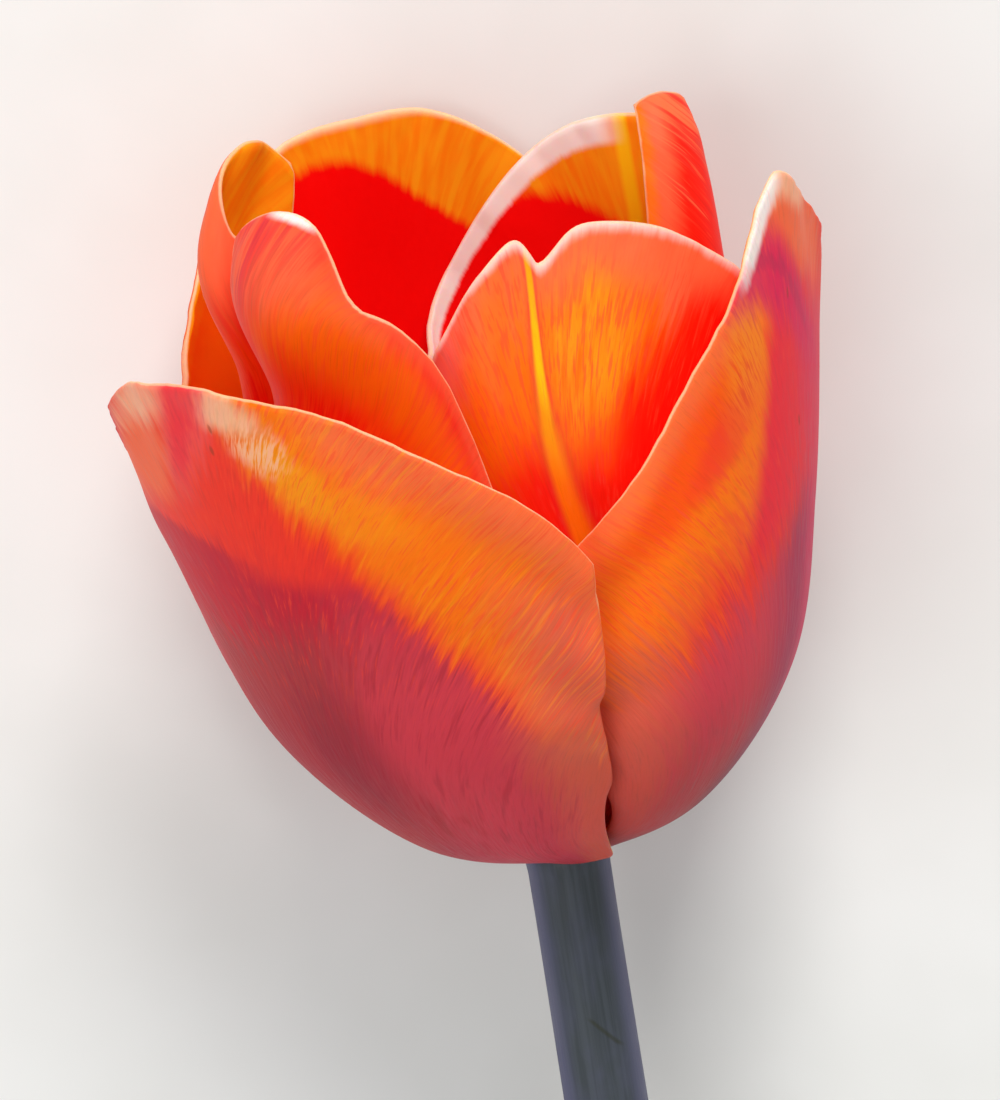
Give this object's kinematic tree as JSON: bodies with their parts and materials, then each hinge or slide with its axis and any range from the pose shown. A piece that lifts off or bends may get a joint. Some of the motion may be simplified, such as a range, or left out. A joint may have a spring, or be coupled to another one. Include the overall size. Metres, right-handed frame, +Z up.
{
  "type": "cut tulip",
  "caption": "Single cut tulip with an open cup of overlapping orange-red and magenta petals on a bare blue-grey stem, lying on its side for a table or vase scene",
  "frame": {"origin": "on the surface that the flower lies on, below the middle of its bounding box", "axes": "+Z up from the surface, +Y along the stem from its cut end to the bloom, +X to the right seen from above with the bloom at the far end"},
  "size_m": [0.0632, 0.2253, 0.0612],
  "materials": {
    "stem": "satin",
    "outer_petal": "satin",
    "inner_petal": "satin",
    "pistil": "satin",
    "filament": "satin",
    "anther": "matte"
  },
  "bodies": {
    "root": {"stem": "stem", "tepal_outer_left": "outer_petal", "tepal_outer_right": "outer_petal", "tepal_outer_back": "outer_petal", "tepal_inner_front": "inner_petal", "tepal_inner_left": "inner_petal", "tepal_inner_right": "inner_petal", "pistil": "pistil", "filament_1": "filament", "filament_2": "filament", "filament_3": "filament", "filament_4": "filament", "filament_5": "filament", "filament_6": "filament", "anther_1": "anther", "anther_2": "anther", "anther_3": "anther", "anther_4": "anther", "anther_5": "anther", "anther_6": "anther"}
  },
  "joints": []
}
